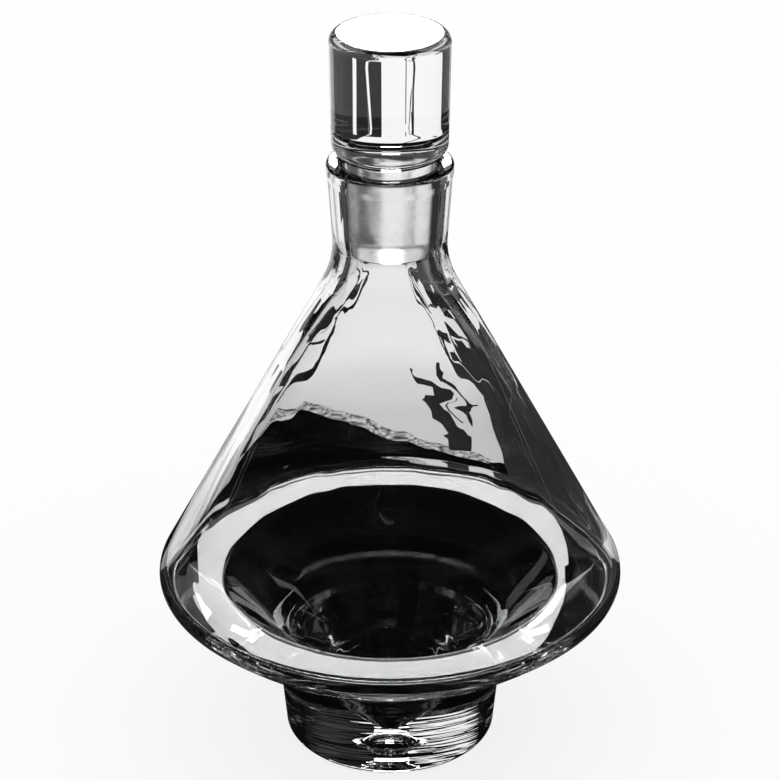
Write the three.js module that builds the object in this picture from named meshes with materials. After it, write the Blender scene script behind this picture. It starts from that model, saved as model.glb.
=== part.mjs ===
import * as THREE from "three";

// A clear glass decanter: a solid foot, a thick bowl with a wide rim, a cone, a neck and a ground stopper.
// Millimetres, +Z up. The origin is the middle of the foot's underside.

// Foot: a thick pad of glass, slightly wider at the top, with a small hollow ground into its underside.
const footHeight = 31;
const footBaseRadius = 39.4;
const footEdgeRound = 2.5;
const hollowRadius = 6.5;
const hollowDepth = 5;

// Bowl outside: a short waist on the foot, then a full underside out to the rim.
const waistRadius = 42.4;
const waistHeight = 5;
const waistRound = 2;
const undersideRadius = 174;
const rimRise = 32.3;
const rimRadius = 86.3;
const rimRound = 4;
const rimUnderAngle = THREE.MathUtils.degToRad(47);

// Bowl inside: a shelf under the cone that falls a little inwards, a rounded shoulder and a sloping wall.
const shelfDrop = 1.3;
const shelfWidth = 21;
const shelfFall = 0.4;
const shelfCornerRound = 2.4;
const shoulderRound = 3;
const bowlWallSlope = THREE.MathUtils.degToRad(40);
const bowlTopRise = 4;

// Well: the bowl's wall goes on down into the foot, a little steeper, to a small rounded tip.
const wellKneeRadius = 42;
const wellKneeRound = 80;
const wellTipRound = 4.5;
const wellTipGlass = 2.4;

// Cone: an even wall from the rim up, then one that thickens towards the throat under the neck.
const coneRise = 125.1;
const coneWall = 4;
const evenWallRise = 80;
const wallBlend = 500;
const shoulderFillet = 36;
const throatDrop = 4.9;
const throatRound = 36;

// Neck: thick walled, widening to a flat lip.
const neckHeight = 39;
const neckRadius = 20.4;
const neckTopRadius = 22.0;
const lipRadius = 22.5;
const lipHeight = 3.5;
const lipStep = 2.5;
const lipRound = 1.2;
const mouthChamfer = 1.6;

// Stopper: a tapered ground plug under a solid head.
const plugRadius = 15.35;
const plugLength = 33;
const plugTaper = 0.048;
const plugEndRound = 1;
const plugClearance = 0.3;
const headGap = 2.7;
const headHeight = 44.9;
const headTopRadius = 21.2;
const headLowRadius = 20.5;
const headTopRound = 3;
const headLowRound = 5;

// How finely the round surfaces are cut into faces.
const turnSteps = 48;
const arcError = 0.1;
const longestLeg = 0.98;

// Heights above the table, and the cone's lean from upright.
const waistTop = footHeight + waistHeight;
const rimLevel = waistTop + rimRise;
const shelfLevel = rimLevel - shelfDrop;
const bowlTop = rimLevel + bowlTopRise;
const neckFoot = rimLevel + coneRise;
const lipLevel = neckFoot + neckHeight;
const rimCentreRadius = rimRadius - rimRound;
const coneRun = rimCentreRadius - neckRadius;
const coneAngle = Math.atan2(coneRun, coneRise) + Math.asin(rimRound / Math.hypot(coneRun, coneRise));
const neckBase = neckFoot + shoulderFillet * Math.tan(coneAngle / 2);
const throatLevel = neckFoot - throatDrop;
const evenWallLevel = rimLevel + evenWallRise;

// Where the shelf starts and ends, and the line of the well from its knee to its tip.
const shelfOuterRadius = coneRadius(shelfLevel, coneWall);
const shelfInnerRadius = shelfOuterRadius - shelfWidth;
const shelfInnerLevel = shelfLevel - shelfFall;
const wellKneeLevel = shelfInnerLevel - (shelfInnerRadius - wellKneeRadius) * Math.tan(bowlWallSlope);
const wellTipCentre = hollowDepth + wellTipGlass + wellTipRound;
const wellRise = wellKneeLevel - wellTipCentre;
const wellSlope = Math.atan2(wellRise, wellKneeRadius) + Math.asin(wellTipRound / Math.hypot(wellRise, wellKneeRadius));
const wellMouthRadius = wellKneeRadius - (wellKneeLevel - footHeight) / Math.tan(wellSlope);

// The radius of the cone's face at a height, moved square to itself by an inset into the glass.
function coneRadius(height, inset) {
  const offset = rimRound - inset - (height - rimLevel) * Math.sin(coneAngle);
  return rimCentreRadius + offset / Math.cos(coneAngle);
}

// The plug's radius at a height, and the bore that takes it with its clearance.
function plugRadiusAt(height) {
  return plugRadius + (height - lipLevel) * plugTaper;
}

function boreRadiusAt(height) {
  return plugRadiusAt(Math.max(height, lipLevel - plugLength)) + plugClearance;
}

// Points on an arc, from one angle to another, with no chord further from it than arcError.
function arc(centre, radius, from, to) {
  const chord = 2 * Math.acos(1 - arcError / Math.max(radius, arcError));
  const steps = Math.max(2, Math.ceil(Math.abs(to - from) / chord));
  return Array.from({ length: steps + 1 }, (_, i) => {
    const angle = from + (to - from) * i / steps;
    return new THREE.Vector2(centre.x + radius * Math.cos(angle), centre.y + radius * Math.sin(angle));
  });
}

// The arc that leaves one point for another and sags below their chord.
function sag(from, to, radius) {
  const middle = from.clone().add(to).multiplyScalar(0.5);
  const chord = to.clone().sub(from);
  const away = Math.sqrt(Math.max(radius ** 2 - chord.lengthSq() / 4, 0));
  const centre = new THREE.Vector2(-chord.y, chord.x).normalize().multiplyScalar(away).add(middle);
  const start = from.clone().sub(centre);
  const end = to.clone().sub(centre);
  return arc(centre, start.length(), Math.atan2(start.y, start.x), Math.atan2(end.y, end.x));
}

// An outline through [radius, height, round] corners, each round limited by the legs beside it.
function rounded(corners) {
  const points = corners.map(([radius, height]) => new THREE.Vector2(radius, height));
  return corners.flatMap(([, , round = 0], i) => {
    if (round === 0) return [points[i]];
    const back = points[i - 1].clone().sub(points[i]);
    const ahead = points[i + 1].clone().sub(points[i]);
    const half = Math.acos(back.dot(ahead) / back.length() / ahead.length()) / 2;
    const room = Math.min(back.length(), ahead.length()) * longestLeg;
    const leg = Math.min(round / Math.tan(half), room);
    const from = back.setLength(leg).add(points[i]);
    const to = ahead.setLength(leg).add(points[i]);
    const middle = from.clone().add(to).multiplyScalar(0.5).sub(points[i]);
    const centre = middle.setLength(leg / Math.cos(half)).add(points[i]);
    const start = from.clone().sub(centre);
    const end = to.clone().sub(centre);
    const first = Math.atan2(start.y, start.x);
    const turn = Math.atan2(start.cross(end), start.dot(end));
    return arc(centre, start.length(), first, first + turn);
  });
}

const clearGlass = { color: 0xf4f7f6, roughness: 0.02, metalness: 0 };
const groundGlass = { color: 0xd9dcdc, roughness: 0.45, metalness: 0 };

// A point closer to the axis than this is on it.
const onAxis = 1e-6;

// A piece turned about the upright axis, drawn in the object's own heights and seated at a level.
function turned(name, outline, level, finish) {
  const profile = outline.map(({ x, y }) => new THREE.Vector2(x < onAxis ? 0 : x, y - level));
  const mesh = new THREE.Mesh(new THREE.LatheGeometry(profile, turnSteps), new THREE.MeshStandardMaterial(finish));
  mesh.name = name;
  mesh.rotation.x = Math.PI / 2;
  mesh.position.z = level;
  return mesh;
}

// A ring's outline goes back to where it started.
function ring(outline) {
  return [...outline, outline[0].clone()];
}

function foot() {
  const hollowCurve = (hollowRadius ** 2 + hollowDepth ** 2) / (2 * hollowDepth);
  const hollowCentre = new THREE.Vector2(0, hollowDepth - hollowCurve);
  const hollow = arc(hollowCentre, hollowCurve, Math.PI / 2, Math.atan2(-hollowCentre.y, hollowRadius));
  const side = rounded([
    [hollowRadius, 0],
    [footBaseRadius, 0, footEdgeRound],
    [waistRadius, footHeight],
    [wellMouthRadius, footHeight],
  ]);
  const tip = arc(new THREE.Vector2(0, wellTipCentre), wellTipRound, wellSlope - Math.PI / 2, -Math.PI / 2);
  return turned("foot", [...hollow.slice(0, -1), ...side, ...tip], 0, clearGlass);
}

function bowl() {
  const rimCentre = new THREE.Vector2(rimCentreRadius, rimLevel);
  const rim = arc(rimCentre, rimRound, -rimUnderAngle, coneAngle);
  const waist = rounded([
    [wellMouthRadius, footHeight],
    [waistRadius, footHeight],
    [waistRadius, waistTop, waistRound],
    [rim[0].x, rim[0].y],
  ]).slice(0, -1);
  const underside = sag(waist.at(-1), rim[0], undersideRadius).slice(1);
  const inside = rounded([
    [coneRadius(bowlTop, 0), bowlTop],
    [coneRadius(bowlTop, coneWall), bowlTop],
    [shelfOuterRadius, shelfLevel, shelfCornerRound],
    [shelfInnerRadius, shelfInnerLevel, shoulderRound],
    [wellKneeRadius, wellKneeLevel, wellKneeRound],
    [wellMouthRadius, footHeight],
  ]);
  return turned("bowl", [...waist, ...underside, ...rim.slice(1), ...inside], footHeight, clearGlass);
}

function coneShell() {
  const outline = rounded([
    [coneRadius(bowlTop, 0), bowlTop],
    [neckRadius, neckFoot, shoulderFillet],
    [neckRadius, neckBase],
    [boreRadiusAt(neckBase), neckBase],
    [boreRadiusAt(lipLevel - plugLength), lipLevel - plugLength],
    [boreRadiusAt(throatLevel), throatLevel, throatRound],
    [coneRadius(evenWallLevel, coneWall), evenWallLevel, wallBlend],
    [coneRadius(bowlTop, coneWall), bowlTop],
  ]);
  return turned("cone_shell", ring(outline), bowlTop, clearGlass);
}

function neck() {
  const mouthRadius = boreRadiusAt(lipLevel) + mouthChamfer;
  const outline = rounded([
    [neckRadius, neckBase],
    [neckTopRadius, lipLevel - lipHeight - lipStep],
    [lipRadius, lipLevel - lipHeight],
    [lipRadius, lipLevel, lipRound],
    [mouthRadius, lipLevel],
    [boreRadiusAt(lipLevel - mouthChamfer), lipLevel - mouthChamfer],
    [boreRadiusAt(neckBase), neckBase],
  ]);
  return turned("neck", ring(outline), neckBase, clearGlass);
}

function stopperPlug() {
  const end = lipLevel - plugLength;
  const seat = lipLevel + headGap;
  const outline = rounded([
    [0, end],
    [plugRadiusAt(end), end, plugEndRound],
    [plugRadiusAt(seat), seat],
    [0, seat],
  ]);
  return turned("stopper_plug", outline, seat, groundGlass);
}

function stopperHead() {
  const seat = lipLevel + headGap;
  const outline = rounded([
    [0, seat],
    [headLowRadius, seat, headLowRound],
    [headTopRadius, seat + headHeight, headTopRound],
    [0, seat + headHeight],
  ]);
  return turned("stopper_head", outline, seat, clearGlass);
}

const vessel = new THREE.Group();
vessel.add(foot(), bowl(), coneShell(), neck());

const stopper = new THREE.Group();
stopper.add(stopperPlug(), stopperHead());

const decanter = new THREE.Group();
decanter.add(vessel, stopper);

export default decanter;
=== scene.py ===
from math import acos, asin, atan2, ceil, cos, hypot, pi, radians, sin, sqrt, tan

import bmesh
import bpy
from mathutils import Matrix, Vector, noise


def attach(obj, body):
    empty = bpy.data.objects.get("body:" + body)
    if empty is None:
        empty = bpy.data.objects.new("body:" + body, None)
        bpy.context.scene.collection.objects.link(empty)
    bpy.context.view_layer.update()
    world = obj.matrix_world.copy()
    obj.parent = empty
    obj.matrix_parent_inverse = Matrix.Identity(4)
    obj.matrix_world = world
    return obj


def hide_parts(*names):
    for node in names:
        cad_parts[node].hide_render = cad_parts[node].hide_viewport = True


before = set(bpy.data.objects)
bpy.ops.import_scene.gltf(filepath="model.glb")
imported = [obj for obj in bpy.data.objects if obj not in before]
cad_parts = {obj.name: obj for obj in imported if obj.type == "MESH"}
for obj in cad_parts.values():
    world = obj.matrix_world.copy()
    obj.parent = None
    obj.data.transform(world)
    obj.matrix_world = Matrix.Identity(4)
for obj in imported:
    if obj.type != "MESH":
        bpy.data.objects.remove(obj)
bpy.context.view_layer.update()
scene = bpy.context.scene

# Shape, in millimetres: the same named sizes as the part's source. First the foot.
FOOT_HEIGHT = 31.0
FOOT_BASE_RADIUS = 39.4
FOOT_EDGE_ROUND = 2.5
HOLLOW_RADIUS = 6.5
HOLLOW_DEPTH = 5.0

# Bowl outside.
WAIST_RADIUS = 42.4
WAIST_HEIGHT = 5.0
WAIST_ROUND = 2.0
UNDERSIDE_RADIUS = 174.0
RIM_RISE = 32.3
RIM_RADIUS = 86.3
RIM_ROUND = 4.0
RIM_UNDER_ANGLE = radians(47)

# Bowl inside and well.
SHELF_DROP = 1.3
SHELF_WIDTH = 21.0
SHELF_FALL = 0.4
SHELF_CORNER_ROUND = 2.4
SHOULDER_ROUND = 3.0
BOWL_WALL_SLOPE = radians(40)
WELL_KNEE_RADIUS = 42.0
WELL_KNEE_ROUND = 80.0
WELL_TIP_ROUND = 4.5
WELL_TIP_GLASS = 2.4

# Cone.
CONE_RISE = 125.1
CONE_WALL = 4.0
EVEN_WALL_RISE = 80.0
WALL_BLEND = 500.0
SHOULDER_FILLET = 36.0
THROAT_DROP = 4.9
THROAT_ROUND = 36.0

# Neck.
NECK_HEIGHT = 39.0
NECK_RADIUS = 20.4
NECK_TOP_RADIUS = 22.0
LIP_RADIUS = 22.5
LIP_HEIGHT = 3.5
LIP_STEP = 2.5
LIP_ROUND = 1.2
MOUTH_CHAMFER = 1.6

# Stopper. The ground face ends a little above the lip.
PLUG_RADIUS = 15.35
PLUG_LENGTH = 33.0
PLUG_TAPER = 0.048
PLUG_END_ROUND = 1.0
PLUG_CLEARANCE = 0.3
GROUND_ABOVE_LIP = 0.4
HEAD_GAP = 2.7
HEAD_HEIGHT = 44.9
HEAD_TOP_RADIUS = 21.2
HEAD_LOW_RADIUS = 20.5
HEAD_TOP_ROUND = 3.0
HEAD_LOW_ROUND = 5.0

# Heights above the table, and the cone's lean from upright.
WAIST_TOP = FOOT_HEIGHT + WAIST_HEIGHT
RIM_LEVEL = WAIST_TOP + RIM_RISE
SHELF_LEVEL = RIM_LEVEL - SHELF_DROP
NECK_FOOT = RIM_LEVEL + CONE_RISE
LIP_LEVEL = NECK_FOOT + NECK_HEIGHT
PLUG_END = LIP_LEVEL - PLUG_LENGTH
SEAT_LEVEL = LIP_LEVEL + HEAD_GAP
GROUND_TOP = LIP_LEVEL + GROUND_ABOVE_LIP
RIM_CENTRE_RADIUS = RIM_RADIUS - RIM_ROUND
CONE_RUN = RIM_CENTRE_RADIUS - NECK_RADIUS
CONE_ANGLE = atan2(CONE_RUN, CONE_RISE) + asin(RIM_ROUND / hypot(CONE_RUN, CONE_RISE))
NECK_BASE = NECK_FOOT + SHOULDER_FILLET * tan(CONE_ANGLE / 2)
THROAT_LEVEL = NECK_FOOT - THROAT_DROP
EVEN_WALL_LEVEL = RIM_LEVEL + EVEN_WALL_RISE

# How finely the glass is turned, and the tolerances, in millimetres.
TURN_STEPS = 240
ARC_STEP = radians(5)
HOLLOW_STEP = radians(2)
SAG_STEP = radians(1)
FEWEST_STEPS = 3
LONGEST_LEG = 0.98
LONGEST_FACE = 2.4
SHORTEST_FACE = 1e-4
ON_AXIS = 1e-6
FLAT = 0.01
MM_PER_METRE = 1000


def arc(centre, radius, start, end, step=ARC_STEP):
    """Points on an arc from one angle to another, no further apart than a step."""
    count = max(FEWEST_STEPS, ceil(abs(end - start) / step))
    angles = [start + (end - start) * i / count for i in range(count + 1)]
    return [(centre[0] + radius * cos(a), centre[1] + radius * sin(a)) for a in angles]


def sag(start, end, radius):
    """The arc from one point to another that sags below their chord."""
    run, rise = end[0] - start[0], end[1] - start[1]
    chord = hypot(run, rise)
    away = sqrt(radius * radius - chord * chord / 4)
    middle = ((start[0] + end[0]) / 2, (start[1] + end[1]) / 2)
    centre = (middle[0] - rise / chord * away, middle[1] + run / chord * away)
    first = atan2(start[1] - centre[1], start[0] - centre[0])
    last = atan2(end[1] - centre[1], end[0] - centre[0])
    return arc(centre, radius, first, last, SAG_STEP)


def rounded(corners):
    """An outline through (radius, height, round) corners, each round limited by the legs beside it."""
    points = []
    for i, corner in enumerate(corners):
        if len(corner) < 3:
            points.append(corner)
            continue
        here = Vector(corner[:2])
        back = Vector(corners[i - 1][:2]) - here
        ahead = Vector(corners[i + 1][:2]) - here
        half = acos(back.dot(ahead) / back.length / ahead.length) / 2
        leg = min(corner[2] / tan(half), min(back.length, ahead.length) * LONGEST_LEG)
        start = here + back.normalized() * leg
        end = here + ahead.normalized() * leg
        centre = here + ((start + end) / 2 - here).normalized() * (leg / cos(half))
        first = start - centre
        last = end - centre
        angle = atan2(first.y, first.x)
        turn = atan2(first.x * last.y - first.y * last.x, first.dot(last))
        points += arc(centre, first.length, angle, angle + turn)
    return points


def cone_radius(height, inset):
    """The radius of the cone's face at a height, moved square to itself by an inset into the glass."""
    offset = RIM_ROUND - inset - (height - RIM_LEVEL) * sin(CONE_ANGLE)
    return RIM_CENTRE_RADIUS + offset / cos(CONE_ANGLE)


def plug_radius(height):
    return PLUG_RADIUS + (height - LIP_LEVEL) * PLUG_TAPER


def bore_radius(height):
    return plug_radius(max(height, PLUG_END)) + PLUG_CLEARANCE


def vessel_outside():
    """From the top of the hollow under the foot up to the mouth."""
    curve = (HOLLOW_RADIUS ** 2 + HOLLOW_DEPTH ** 2) / (2 * HOLLOW_DEPTH)
    centre = (0, HOLLOW_DEPTH - curve)
    hollow = arc(centre, curve, pi / 2, atan2(-centre[1], HOLLOW_RADIUS), HOLLOW_STEP)
    rim = arc((RIM_CENTRE_RADIUS, RIM_LEVEL), RIM_ROUND, -RIM_UNDER_ANGLE, CONE_ANGLE)
    low = rounded([
        hollow[-1],
        (FOOT_BASE_RADIUS, 0, FOOT_EDGE_ROUND),
        (WAIST_RADIUS, FOOT_HEIGHT, FOOT_EDGE_ROUND),
        (WAIST_RADIUS, WAIST_TOP, WAIST_ROUND),
        rim[0],
    ])[:-1]
    underside = sag(low[-1], rim[0], UNDERSIDE_RADIUS)
    high = rounded([
        rim[-1],
        (NECK_RADIUS, NECK_FOOT, SHOULDER_FILLET),
        (NECK_RADIUS, NECK_BASE),
        (NECK_TOP_RADIUS, LIP_LEVEL - LIP_HEIGHT - LIP_STEP, LIP_HEIGHT),
        (LIP_RADIUS, LIP_LEVEL - LIP_HEIGHT, LIP_HEIGHT),
        (LIP_RADIUS, LIP_LEVEL, LIP_ROUND),
        (bore_radius(LIP_LEVEL) + MOUTH_CHAMFER, LIP_LEVEL),
    ])
    return hollow[:-1] + low + underside[1:] + rim[1:] + high[1:]


def vessel_inside():
    """From the mouth down to the tip of the well."""
    shelf_outer = cone_radius(SHELF_LEVEL, CONE_WALL)
    shelf_inner = shelf_outer - SHELF_WIDTH
    shelf_inner_level = SHELF_LEVEL - SHELF_FALL
    knee = shelf_inner_level - (shelf_inner - WELL_KNEE_RADIUS) * tan(BOWL_WALL_SLOPE)
    tip = HOLLOW_DEPTH + WELL_TIP_GLASS + WELL_TIP_ROUND
    rise = knee - tip
    slope = atan2(rise, WELL_KNEE_RADIUS) + asin(WELL_TIP_ROUND / hypot(rise, WELL_KNEE_RADIUS))
    well = arc((0, tip), WELL_TIP_ROUND, slope - pi / 2, -pi / 2)
    walls = rounded([
        (bore_radius(LIP_LEVEL) + MOUTH_CHAMFER, LIP_LEVEL),
        (bore_radius(LIP_LEVEL - MOUTH_CHAMFER), LIP_LEVEL - MOUTH_CHAMFER, LIP_ROUND),
        (bore_radius(PLUG_END), PLUG_END),
        (bore_radius(THROAT_LEVEL), THROAT_LEVEL, THROAT_ROUND),
        (cone_radius(EVEN_WALL_LEVEL, CONE_WALL), EVEN_WALL_LEVEL, WALL_BLEND),
        (shelf_outer, SHELF_LEVEL, SHELF_CORNER_ROUND),
        (shelf_inner, shelf_inner_level, SHOULDER_ROUND),
        (WELL_KNEE_RADIUS, knee, WELL_KNEE_ROUND),
        well[0],
    ])
    return walls[1:] + well[1:]


def stopper_outline():
    """From the middle of the plug's end up to the middle of the head's top."""
    return rounded([
        (0, PLUG_END),
        (plug_radius(PLUG_END), PLUG_END, PLUG_END_ROUND),
        (plug_radius(GROUND_TOP), GROUND_TOP),
        (plug_radius(SEAT_LEVEL), SEAT_LEVEL, PLUG_END_ROUND),
        (HEAD_LOW_RADIUS, SEAT_LEVEL, HEAD_LOW_ROUND),
        (HEAD_TOP_RADIUS, SEAT_LEVEL + HEAD_HEIGHT, HEAD_TOP_ROUND),
        (0, SEAT_LEVEL + HEAD_HEIGHT),
    ])


def densified(outline):
    """The same outline with no leg longer than one face."""
    points = [outline[0]]
    for start, end in zip(outline, outline[1:]):
        length = hypot(end[0] - start[0], end[1] - start[1])
        if length < SHORTEST_FACE:
            continue
        count = max(1, ceil(length / LONGEST_FACE))
        run, rise = (end[0] - start[0]) / count, (end[1] - start[1]) / count
        points += [(start[0] + run * i, start[1] + rise * i) for i in range(1, count + 1)]
    return points


def turned(name, outline, uneven, materials, finish):
    """A closed glass body turned about the upright axis; uneven moves its points, in millimetres."""
    mesh = bmesh.new()
    rings = []
    for i, (radius, height) in enumerate(outline):
        if radius < ON_AXIS:
            rings.append([mesh.verts.new((0, 0, height / MM_PER_METRE))])
            continue
        row = []
        for k in range(TURN_STEPS):
            angle = 2 * pi * k / TURN_STEPS
            out, up = uneven(i, radius, height, angle)
            out /= MM_PER_METRE
            row.append(mesh.verts.new((out * cos(angle), out * sin(angle), up / MM_PER_METRE)))
        rings.append(row)
    for i, (low, high) in enumerate(zip(rings, rings[1:])):
        for k in range(TURN_STEPS):
            following = (k + 1) % TURN_STEPS
            if len(low) == 1:
                corners = (low[0], high[k], high[following])
            elif len(high) == 1:
                corners = (low[k], high[0], low[following])
            else:
                corners = (low[k], high[k], high[following], low[following])
            face = mesh.faces.new(corners)
            face.smooth = True
            face.material_index = finish(outline[i], outline[i + 1])
    bmesh.ops.recalc_face_normals(mesh, faces=mesh.faces)
    data = bpy.data.meshes.new(name)
    mesh.to_mesh(data)
    mesh.free()
    piece = bpy.data.objects.new(name, data)
    scene.collection.objects.link(piece)
    for material in materials:
        data.materials.append(material)
    return piece


# Glass.
GLASS_IOR = 1.5
GLASS_COLOUR = (0.985, 0.99, 0.988, 1)
GROUND_COLOUR = (0.97, 0.975, 0.975, 1)

# Slow ripple of polished glass.
POLISH_SCALE = 38
POLISH_DETAIL = 1.5
POLISH_BUMP = 0.02
POLISH_DEPTH = 0.002

# Shallow waves of the underside.
UNDERSIDE_STRETCH = (22, 150, 20)
UNDERSIDE_SCALE = 1
UNDERSIDE_DETAIL = 2
UNDERSIDE_BUMP = 0.2
UNDERSIDE_DEPTH = 0.001

# Tool rings on the well's wall, and the millimetres between which they lie.
WELL_RING_SCALE = 75
WELL_RING_DISTORTION = 1.5
WELL_RING_DETAIL = 1
WELL_RING_BUMP = 0.5
WELL_RING_DEPTH = 0.0002
WELL_RING_LOW = HOLLOW_DEPTH + 0.5
WELL_RING_TOP = 32.0
WELL_RING_RADIUS = 37.0

# Grain of the plug's ground face.
GROUND_ROUGHNESS = 0.24
GROUND_WEAR = 0.06
GRAIN_SCALE = 260
GRAIN_DETAIL = 4
GRAIN_LOW = 0.3
GRAIN_HIGH = 0.7


def add_node(owner, kind, values):
    """A new node in a material or world, with the values of its sockets by name."""
    node = owner.node_tree.nodes.new(kind)
    for socket, value in values.items():
        node.inputs[socket].default_value = value
    return node


def object_place(material):
    return add_node(material, "ShaderNodeTexCoord", {}).outputs["Object"]


def glass(name, colour, roughness):
    material = bpy.data.materials.new(name)
    material.use_nodes = True
    shader = material.node_tree.nodes["Principled BSDF"]
    shader.inputs["Base Color"].default_value = colour
    shader.inputs["Roughness"].default_value = roughness
    shader.inputs["IOR"].default_value = GLASS_IOR
    shader.inputs["Transmission Weight"].default_value = 1.0
    return material, shader


def raise_glass(material, shader, place, texture, strength, distance):
    """Bump the glass with a texture."""
    links = material.node_tree.links
    bump = add_node(material, "ShaderNodeBump", {"Strength": strength, "Distance": distance})
    links.new(place, texture.inputs["Vector"])
    links.new(texture.outputs["Fac"], bump.inputs["Height"])
    links.new(bump.outputs["Normal"], shader.inputs["Normal"])


def clear_glass():
    """Polished glass with the slow ripple of hand work."""
    material, shader = glass("clear_glass_polished", GLASS_COLOUR, 0.0)
    ripples = add_node(material, "ShaderNodeTexNoise", {"Scale": POLISH_SCALE, "Detail": POLISH_DETAIL})
    raise_glass(material, shader, object_place(material), ripples, POLISH_BUMP, POLISH_DEPTH)
    return material


def underside_glass():
    """The foot's underside, drawn into shallow waves where it was ground and polished flat."""
    material, shader = glass("clear_glass_underside", GLASS_COLOUR, 0.0)
    stretch = add_node(material, "ShaderNodeMapping", {"Scale": UNDERSIDE_STRETCH})
    waves = add_node(material, "ShaderNodeTexNoise", {"Scale": UNDERSIDE_SCALE, "Detail": UNDERSIDE_DETAIL})
    material.node_tree.links.new(object_place(material), stretch.inputs["Vector"])
    raise_glass(material, shader, stretch.outputs["Vector"], waves, UNDERSIDE_BUMP, UNDERSIDE_DEPTH)
    return material


def well_glass():
    """The well's wall, with the faint rings left by the tool that shaped it."""
    material, shader = glass("clear_glass_well", GLASS_COLOUR, 0.0)
    rings = add_node(material, "ShaderNodeTexWave", {
        "Scale": WELL_RING_SCALE,
        "Distortion": WELL_RING_DISTORTION,
        "Detail": WELL_RING_DETAIL,
    })
    rings.wave_type = "RINGS"
    rings.rings_direction = "Z"
    raise_glass(material, shader, object_place(material), rings, WELL_RING_BUMP, WELL_RING_DEPTH)
    return material


def ground_glass():
    """The plug's ground face: fine grain, with slightly more polish where it has worn."""
    material, shader = glass("ground_glass_satin", GROUND_COLOUR, GROUND_ROUGHNESS)
    links = material.node_tree.links
    grain = add_node(material, "ShaderNodeTexNoise", {"Scale": GRAIN_SCALE, "Detail": GRAIN_DETAIL})
    worn = add_node(material, "ShaderNodeMapRange", {
        "From Min": GRAIN_LOW,
        "From Max": GRAIN_HIGH,
        "To Min": GROUND_ROUGHNESS - GROUND_WEAR,
        "To Max": GROUND_ROUGHNESS + GROUND_WEAR,
    })
    links.new(object_place(material), grain.inputs["Vector"])
    links.new(grain.outputs["Fac"], worn.inputs["Value"])
    links.new(worn.outputs["Result"], shader.inputs["Roughness"])
    return material


CLEAR = clear_glass()
UNDERSIDE = underside_glass()
WELL = well_glass()
GROUND = ground_glass()

# Unevenness of hand work, in millimetres. The outside only goes inwards, so the sizes hold.
INSIDE_RIPPLE = 0.09
INSIDE_BAND = 0.02
OUTSIDE_RIPPLE = 0.04
RIPPLE_TURNS = 6.0
RIPPLE_RISE = 0.01
BAND_TURNS = 1.6
BAND_RISE = 0.09
TRIM = 0.002
OUTSIDE_SEED = 3.1
INSIDE_SEED = 7.7
BAND_SEED = 1.3

# It comes in over these distances, above the table and the shelf, and below the lip and the plug's end.
TABLE_FADE = (2, 12)
SHELF_FADE = (4, 24)
LIP_FADE = (6, 16)
PLUG_FADE = (6, 18)


def ripple(angle, height, turns, rise, seed):
    """Smooth noise round the axis; between -1 and 1."""
    return noise.noise(Vector((turns * cos(angle), turns * sin(angle), height * rise + seed)))


def fade(value, low, high):
    """From 0 at the low value to 1 at the high one."""
    return min(1, max(0, (value - low) / (high - low)))


outside = densified(vessel_outside())
inside = densified(vessel_inside())


def vessel_uneven(i, radius, height, angle):
    if i < len(outside):
        share = fade(height, *TABLE_FADE) * fade(LIP_LEVEL - height, *LIP_FADE)
        dip = OUTSIDE_RIPPLE * (0.5 + 0.5 * ripple(angle, height, RIPPLE_TURNS, RIPPLE_RISE, OUTSIDE_SEED))
        return radius - TRIM - dip * share, height
    share = fade(height - SHELF_LEVEL, *SHELF_FADE) * fade(PLUG_END - height, *PLUG_FADE)
    swell = INSIDE_RIPPLE * ripple(angle, height, RIPPLE_TURNS, RIPPLE_RISE, INSIDE_SEED)
    swell += INSIDE_BAND * ripple(angle, height, BAND_TURNS, BAND_RISE, BAND_SEED)
    return radius + swell * share, height


def stopper_even(i, radius, height, angle):
    return radius, height


def vessel_finish(low, high):
    """The place in VESSEL_GLASS of the face between two points of the outline."""
    if max(low[1], high[1]) < FLAT:
        return 1
    radius = max(low[0], high[0])
    height = min(low[1], high[1])
    return 2 if WELL_RING_LOW < height < WELL_RING_TOP and radius < WELL_RING_RADIUS else 0


VESSEL_GLASS = [CLEAR, UNDERSIDE, WELL]
vessel = turned("vessel_glass", outside + inside, vessel_uneven, VESSEL_GLASS, vessel_finish)
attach(vessel, "vessel")
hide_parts("foot", "bowl", "cone_shell", "neck")


def stopper_finish(low, high):
    """The place in STOPPER_GLASS of the face between two points of the outline."""
    height = max(low[1], high[1])
    return 1 if PLUG_END + PLUG_END_ROUND < height < GROUND_TOP + FLAT else 0


STOPPER_GLASS = [CLEAR, GROUND]
stopper_points = densified(stopper_outline())
stopper = turned("stopper_glass", stopper_points, stopper_even, STOPPER_GLASS, stopper_finish)
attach(stopper, "stopper")
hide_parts("stopper_plug", "stopper_head")


# The camera, fitted to the photo's outline with the sizes above.
FRAME_PIXELS = 780
FOCAL_PIXELS = 2938.163
SENSOR_WIDTH = 36.0
CAMERA_ELEVATION = radians(27.691)
CAMERA_DISTANCE = 1.068463
CAMERA_AIM = 0.141917

camera_data = bpy.data.cameras.new("camera")
camera_data.sensor_width = SENSOR_WIDTH
camera_data.lens = SENSOR_WIDTH * FOCAL_PIXELS / FRAME_PIXELS
camera = bpy.data.objects.new("camera", camera_data)
camera.location = (
    0,
    -CAMERA_DISTANCE * cos(CAMERA_ELEVATION),
    CAMERA_AIM + CAMERA_DISTANCE * sin(CAMERA_ELEVATION),
)
camera.rotation_euler = (pi / 2 - CAMERA_ELEVATION, 0, 0)
scene.collection.objects.link(camera)
scene.camera = camera


# The studio. Polished glass shows what stands round it, so cards stand there, out of the camera's sight.
FLECK_SCALE = 320
FLECK_DETAIL = 3
FLECK_LOW = 0.35
FLECK_HIGH = 0.65


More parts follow.
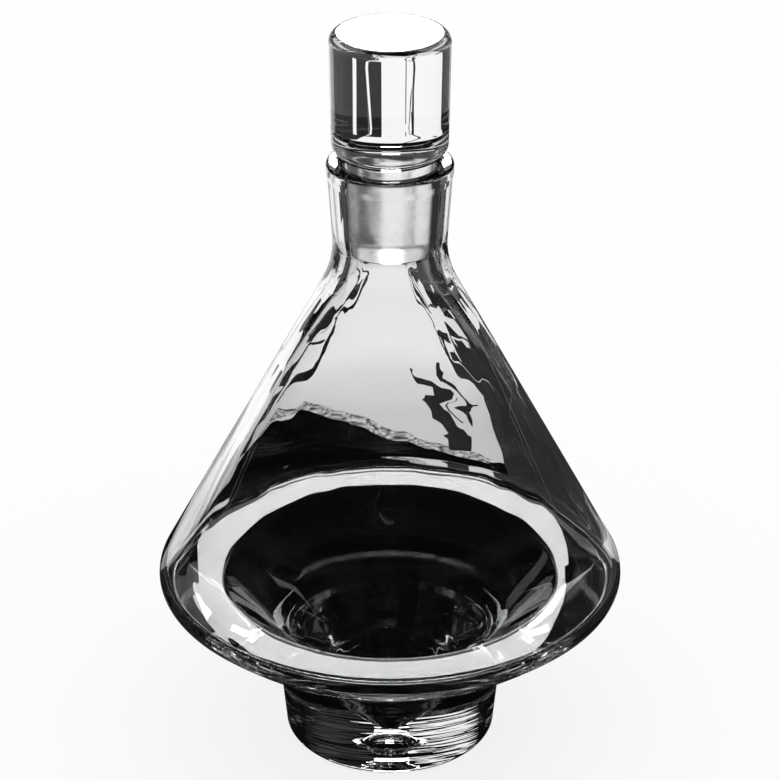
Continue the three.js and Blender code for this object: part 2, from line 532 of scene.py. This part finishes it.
def emitter(name, level):
    """A grey that shines by itself."""
    material = bpy.data.materials.new(name)
    material.use_nodes = True
    material.node_tree.nodes.clear()
    output = add_node(material, "ShaderNodeOutputMaterial", {})
    light = add_node(material, "ShaderNodeEmission", {"Color": (level, level, level, 1)})
    material.node_tree.links.new(light.outputs[0], output.inputs["Surface"])
    return material


def speckled(name, low, high):
    """An emitter whose level runs between two values in small flecks."""
    material = emitter(name, high)
    links = material.node_tree.links
    light = material.node_tree.nodes["Emission"]
    flecks = add_node(material, "ShaderNodeTexNoise", {"Scale": FLECK_SCALE, "Detail": FLECK_DETAIL})
    level = add_node(material, "ShaderNodeMapRange", {
        "From Min": FLECK_LOW,
        "From Max": FLECK_HIGH,
        "To Min": low,
        "To Max": high,
    })
    links.new(object_place(material), flecks.inputs["Vector"])
    links.new(flecks.outputs["Fac"], level.inputs["Value"])
    links.new(level.outputs["Result"], light.inputs["Color"])
    return material


def card(name, corners, material):
    """A flat card that only the glass shows."""
    data = bpy.data.meshes.new(name)
    data.from_pydata(corners, [], [tuple(range(len(corners)))])
    data.materials.append(material)
    piece = bpy.data.objects.new(name, data)
    scene.collection.objects.link(piece)
    piece.visible_camera = False
    piece.visible_diffuse = False
    piece.visible_shadow = False
    return piece


FLOOR_HALF = 6.0
FLOOR_LEVEL = -0.0008
FLOOR_GREY = 0.95
FLOOR_GLOW = 0.8
CARD_LEVEL = -0.0006
CARD_STEP = 0.00001

# The table seen through the glass: its levels, and the distances behind the object where they hold.
TABLE_NEAR = 0.71
TABLE_FAR = 1.0
TABLE_NEAR_Y = 0.27
TABLE_FAR_Y = 0.385


def floor_material():
    """White to the camera with a soft shadow, and to the glass a table that pales with distance."""
    material = bpy.data.materials.new("pale_floor")
    material.use_nodes = True
    material.node_tree.nodes.clear()
    links = material.node_tree.links
    output = add_node(material, "ShaderNodeOutputMaterial", {})
    path = add_node(material, "ShaderNodeLightPath", {})
    lit = add_node(material, "ShaderNodeBsdfDiffuse", {"Color": (FLOOR_GREY, FLOOR_GREY, FLOOR_GREY, 1)})
    glow = add_node(material, "ShaderNodeEmission", {"Color": (1, 1, 1, 1)})
    seen = add_node(material, "ShaderNodeMixShader", {"Fac": FLOOR_GLOW})
    split = add_node(material, "ShaderNodeSeparateXYZ", {})
    paling = add_node(material, "ShaderNodeMapRange", {
        "From Min": TABLE_NEAR_Y,
        "From Max": TABLE_FAR_Y,
        "To Min": TABLE_NEAR,
        "To Max": TABLE_FAR,
    })
    table = add_node(material, "ShaderNodeEmission", {})
    either = add_node(material, "ShaderNodeMixShader", {})
    links.new(lit.outputs[0], seen.inputs[1])
    links.new(glow.outputs[0], seen.inputs[2])
    links.new(object_place(material), split.inputs[0])
    links.new(split.outputs["Y"], paling.inputs["Value"])
    links.new(paling.outputs["Result"], table.inputs["Strength"])
    links.new(path.outputs["Is Camera Ray"], either.inputs["Fac"])
    links.new(table.outputs[0], either.inputs[1])
    links.new(seen.outputs[0], either.inputs[2])
    links.new(either.outputs[0], output.inputs["Surface"])
    return material


FLOOR_CORNERS = [
    (-FLOOR_HALF, -FLOOR_HALF, FLOOR_LEVEL),
    (FLOOR_HALF, -FLOOR_HALF, FLOOR_LEVEL),
    (FLOOR_HALF, FLOOR_HALF, FLOOR_LEVEL),
    (-FLOOR_HALF, FLOOR_HALF, FLOOR_LEVEL),
]
floor = card("floor", FLOOR_CORNERS, floor_material())
floor.visible_camera = True
floor.visible_diffuse = True

# Degrees between the corners of a curved card.
WEDGE_STEP = 4


def wedge(start, end, near, far):
    """The part of a ring on the table between two azimuths; azimuth 0 is straight behind the object."""
    steps = max(2, ceil((end - start) / WEDGE_STEP))
    turns = [radians(start + (end - start) * i / steps) for i in range(steps + 1)]
    inner = [(near * sin(a), near * cos(a)) for a in turns]
    outer = [(far * sin(a), far * cos(a)) for a in reversed(turns)]
    return inner + outer


def on_table(outline, level):
    return [(x, y, level) for x, y in outline]


def strip(middle):
    """A bent strip on the table through (x, y, half width) points."""
    left, right = [], []
    for i, (x, y, half) in enumerate(middle):
        back, ahead = middle[max(i - 1, 0)], middle[min(i + 1, len(middle) - 1)]
        run, rise = ahead[0] - back[0], ahead[1] - back[1]
        length = hypot(run, rise)
        left.append((x - rise / length * half, y + run / length * half))
        right.append((x + rise / length * half, y - run / length * half))
    return left + right[::-1]


# Outlines on the table, in metres. A strip's points also give its half width.
NEAR_OUTLINE = [
    (-0.3, -0.3), (0.3, -0.3), (0.3, 0.13), (0.1, 0.16), (0.062, 0.212), (0.042, 0.219), (0.0235, 0.223),
    (0.008, 0.238), (-0.008, 0.248), (-0.025, 0.262), (-0.0455, 0.279), (-0.056, 0.288), (-0.064, 0.29),
    (-0.071, 0.272), (-0.0975, 0.255), (-0.103, 0.235), (-0.098, 0.21), (-0.3, 0.12),
]
FLECKED_STRIP = [
    (-0.0875, 0.258, 0.005), (-0.082, 0.27, 0.005), (-0.0765, 0.28, 0.005), (-0.071, 0.2925, 0.005),
    (-0.06, 0.295, 0.005), (-0.047, 0.2837, 0.0037), (-0.026, 0.266, 0.0038), (-0.008, 0.2527, 0.0045),
    (0.008, 0.2426, 0.0045), (0.0235, 0.228, 0.005), (0.0315, 0.2238, 0.004), (0.055, 0.216, 0.0035),
]
RIGHT_OUTLINE = [
    (0.062, 0.2), (0.0615, 0.245), (0.0635, 0.28), (0.0685, 0.305), (0.0726, 0.316), (0.0704, 0.319),
    (0.064, 0.328), (0.0597, 0.34), (0.055, 0.346), (0.0554, 0.3676), (0.0531, 0.3764), (0.0507, 0.39),
    (0.055, 0.4224), (0.0543, 0.436), (0.0598, 0.4533), (0.07, 0.485), (0.0782, 0.506), (0.087, 0.525),
    (0.101, 0.548), (0.12, 0.588), (0.16, 0.66), (0.3, 0.9), (1.0, 2.3), (3.6, 6), (6, 6), (0.24, 0.24),
    (0.12, 0.17),
]
RIGHT_LINE = [
    (0.0596, 0.452, 0.0012), (0.065, 0.485, 0.0016), (0.066, 0.505, 0.0016), (0.073, 0.52, 0.0018),
    (0.077, 0.531, 0.0018),
]
RIGHT_GAPS = [
    [
        (0.0665, 0.3857, 0.0008), (0.07, 0.415, 0.0012), (0.0745, 0.4515, 0.0016), (0.079, 0.467, 0.0018),
        (0.092, 0.5126, 0.0025), (0.11, 0.567, 0.004), (0.133, 0.61, 0.006), (0.16, 0.655, 0.009),
        (0.2, 0.715, 0.012),
    ],
    [(0.0983, 0.4875, 0.003), (0.1115, 0.54, 0.005), (0.125, 0.5526, 0.006), (0.1484, 0.5814, 0.007)],
    [(0.0652, 0.4568, 0.0012), (0.0628, 0.4454, 0.0012), (0.06, 0.435, 0.0008)],
    [
        (0.0759, 0.4645, 0.0012), (0.0712, 0.45, 0.0012), (0.0671, 0.4287, 0.0012),
        (0.0606, 0.3847, 0.0009), (0.0636, 0.3785, 0.0009), (0.0732, 0.3714, 0.0011),
        (0.0791, 0.3585, 0.0011), (0.0822, 0.3357, 0.001),
    ],
    [(0.275, 0.55, 0.018), (0.3, 0.62, 0.021), (0.335, 0.71, 0.024)],
]
HEAD_LINE = [(-0.115, 0.63, 0.003), (-0.124, 0.684, 0.004), (-0.139, 0.765, 0.004)]
RIGHT_GREY = [
    (0.245, 0.8, 0.008), (0.175, 0.663, 0.006), (0.149, 0.601, 0.005), (0.122, 0.511, 0.003),
    (0.117, 0.485, 0.003), (0.125, 0.478, 0.003), (0.13, 0.447, 0.003),
]
LEFT_LINE = [
    (-0.0867, 0.318), (-0.0868, 0.326), (-0.0855, 0.335), (-0.0865, 0.363), (-0.0806, 0.3835),
    (-0.0764, 0.3895), (-0.0792, 0.417), (-0.0875, 0.463), (-0.095, 0.485), (-0.1, 0.511), (-0.11, 0.562),
    (-0.118, 0.581), (-0.134, 0.611), (-0.16, 0.669), (-0.179, 0.683), (-0.148, 0.63), (-0.133, 0.619),
    (-0.116, 0.585), (-0.1, 0.554), (-0.089, 0.519), (-0.085, 0.481), (-0.0755, 0.449), (-0.072, 0.404),
    (-0.068, 0.38), (-0.069, 0.37), (-0.0752, 0.3523), (-0.08, 0.33), (-0.0816, 0.313),
]
LEFT_BRANCH = [
    (-0.108, 0.51, 0.004), (-0.125, 0.545, 0.005), (-0.141, 0.563, 0.007), (-0.153, 0.578, 0.009),
    (-0.169, 0.604, 0.008), (-0.166, 0.64, 0.007),
]
OUTER_STRIP = [
    (-0.9, 5.8, 0.12), (-0.45, 1.25, 0.03), (-0.35, 0.97, 0.02), (-0.289, 0.867, 0.014),
    (-0.222, 0.737, 0.012), (-0.185, 0.67, 0.008), (-0.167, 0.603, 0.01), (-0.151, 0.54, 0.008),
    (-0.145, 0.517, 0.008), (-0.136, 0.482, 0.012), (-0.13, 0.433, 0.014), (-0.118, 0.4, 0.009),
    (-0.109, 0.381, 0.004), (-0.108, 0.36, 0.006), (-0.106, 0.34, 0.005), (-0.11, 0.29, 0.0035),
    (-0.104, 0.245, 0.004),
]
FAR_STRIP = [(-1.7, 2.2, 0.08), (-1.249, 1.688, 0.06), (-0.79, 1.216, 0.03)]
EDGE_STRIP = [(-0.22, 0.333, 0.003), (-0.15, 0.322, 0.003)]
WAVE_OUTLINE = [
    (0.0145, 0.334), (0.0177, 0.329), (0.0167, 0.321), (0.0218, 0.3182), (0.0271, 0.3178), (0.0328, 0.3122),
    (0.0365, 0.3117), (0.0379, 0.3056), (0.0367, 0.2936), (0.0293, 0.2863), (0.0315, 0.2775),
    (0.0342, 0.2745), (0.0362, 0.2654), (0.0372, 0.2585), (0.04, 0.2546), (0.0421, 0.2432), (0.0446, 0.239),
    (0.043, 0.224), (0.031, 0.224), (0.0308, 0.2377), (0.0278, 0.2445), (0.0315, 0.2485), (0.0281, 0.26),
    (0.0235, 0.2655), (0.0235, 0.273), (0.0201, 0.2934), (0.0215, 0.3), (0.0263, 0.301), (0.0267, 0.3107),
    (0.0205, 0.312), (0.016, 0.3193), (0.0137, 0.327),
]
BRANCH_OUTLINE = [
    (0.0342, 0.3606), (0.0359, 0.3605), (0.0345, 0.34), (0.0355, 0.3305), (0.0337, 0.3233),
    (0.0375, 0.32), (0.0411, 0.3179), (0.0436, 0.3107), (0.0484, 0.301), (0.0566, 0.2916),
    (0.0533, 0.2843), (0.0497, 0.28), (0.0506, 0.2724), (0.0476, 0.2596), (0.0444, 0.2662),
    (0.0439, 0.2738), (0.0371, 0.28), (0.0403, 0.2824), (0.0483, 0.2862), (0.0503, 0.2908),
    (0.0435, 0.3005), (0.0398, 0.3114), (0.0361, 0.3162), (0.0326, 0.3192), (0.0314, 0.3257),
]
THREAD_STRIP = [
    (0.0393, 0.295, 0.0004), (0.0386, 0.2893, 0.0004), (0.0343, 0.2873, 0.0005), (0.0333, 0.2823, 0.0006),
    (0.0344, 0.2762, 0.0005), (0.0403, 0.263, 0.0004),
]

# Cards on the table: (name, level, outline), each a hair above the one before.
BLACK = 0.0015
TABLE_CARDS = [
    ("near_card", BLACK, NEAR_OUTLINE),
    ("right_card", 0.03, RIGHT_OUTLINE),
    ("far_right_card", 0.03, wedge(45, 75, 0.2, 6)),
    ("left_card", 0.008, wedge(-75, -48, 0.2, 6)),
    ("left_neck_card", 0.02, wedge(-48, -38, 0.48, 0.58)),
    ("right_neck_card", 0.02, wedge(36, 46, 0.48, 0.58)),
    ("far_card", 0.02, wedge(5.4, 24, 0.6, 0.85)),
    ("head_line", 0.02, strip(HEAD_LINE)),
    ("right_line", 0.02, strip(RIGHT_LINE)),
    ("right_grey", 0.16, strip(RIGHT_GREY)),
    ("left_line", 0.008, LEFT_LINE),
    ("left_branch", 0.02, strip(LEFT_BRANCH)),
    ("outer_strip", 0.02, strip(OUTER_STRIP)),
    ("far_strip", 0.008, strip(FAR_STRIP)),
    ("edge_strip", 0.02, strip(EDGE_STRIP)),
    ("wave", 0.022, WAVE_OUTLINE),
    ("branch", 0.022, BRANCH_OUTLINE),
    ("thread", 0.08, strip(THREAD_STRIP)),
]
TABLE_CARDS += [(f"right_gap_{i}", 1.0, strip(middle)) for i, middle in enumerate(RIGHT_GAPS)]
for i, (name, level, outline) in enumerate(TABLE_CARDS):
    card(name, on_table(outline, CARD_LEVEL + CARD_STEP * i), emitter(name, level))

# The far edge of the near card, just above it, in flecks between two levels.
FLECK_LEVELS = (0.05, 0.75)
FLECKED_LEVEL = CARD_LEVEL + CARD_STEP / 2
card("flecked_edge", on_table(strip(FLECKED_STRIP), FLECKED_LEVEL), speckled("flecked_edge", *FLECK_LEVELS))

# The dark side of the room in front. The glass mirrors it, but through the glass the table stays pale.
FRONT_WEDGE = (76, 284, 0.3, 3)
front = card("front_card", on_table(wedge(*FRONT_WEDGE), CARD_LEVEL), emitter("front_card", BLACK))
front.visible_transmission = False

# Windows: (name, strength, outline as azimuths and elevations in degrees).
WINDOWS = [
    ("window", 15.0, [(-8, 15), (6.5, 15), (6.5, 32.6), (-8, 32.6)]),
    ("left_window", 1.0, [(-8, 31), (-38, 31), (-54, 33.4), (-8, 33.4)]),
    ("low_window", 1.2, [(-28, 21.5), (28, 21.5), (28, 27.5), (-28, 27.5)]),
    ("right_window", 0.05, [(6.5, 31.5), (6.5, 33.4), (50, 33.4), (30, 31.5)]),
    ("side_window", 0.9, [(46, 20), (60, 20), (60, 24), (46, 24)]),
]
WINDOW_DISTANCE = 30.0


def window_point(azimuth, elevation):
    turn = radians(azimuth)
    rise = tan(radians(elevation))
    return (WINDOW_DISTANCE * sin(turn), WINDOW_DISTANCE * cos(turn), WINDOW_DISTANCE * rise)


for name, strength, outline in WINDOWS:
    card(name, [window_point(*corner) for corner in outline], emitter(name, strength))

WHITE = 1.0
SOFT_LIGHT = 1.0
ROOM_DARK = 0.004


def make_world():
    """White to the camera, plain soft light on the floor, and a dark room for the glass to show."""
    studio = bpy.data.worlds.new("studio")
    scene.world = studio
    studio.use_nodes = True
    studio.node_tree.nodes.clear()
    links = studio.node_tree.links
    output = add_node(studio, "ShaderNodeOutputWorld", {})
    path = add_node(studio, "ShaderNodeLightPath", {})
    white, soft, dark = (
        add_node(studio, "ShaderNodeBackground", {"Color": (level, level, level, 1)})
        for level in (WHITE, SOFT_LIGHT, ROOM_DARK)
    )
    lit = add_node(studio, "ShaderNodeMixShader", {})
    seen = add_node(studio, "ShaderNodeMixShader", {})
    links.new(path.outputs["Is Diffuse Ray"], lit.inputs["Fac"])
    links.new(dark.outputs[0], lit.inputs[1])
    links.new(soft.outputs[0], lit.inputs[2])
    links.new(path.outputs["Is Camera Ray"], seen.inputs["Fac"])
    links.new(lit.outputs[0], seen.inputs[1])
    links.new(white.outputs[0], seen.inputs[2])
    links.new(seen.outputs[0], output.inputs["Surface"])


make_world()

# Light crosses many faces inside such thick glass.
GLASS_BOUNCES = 32
GLOSS_BOUNCES = 16
scene.view_settings.view_transform = "Standard"
scene.cycles.max_bounces = GLASS_BOUNCES
scene.cycles.transmission_bounces = GLASS_BOUNCES
scene.cycles.glossy_bounces = GLOSS_BOUNCES
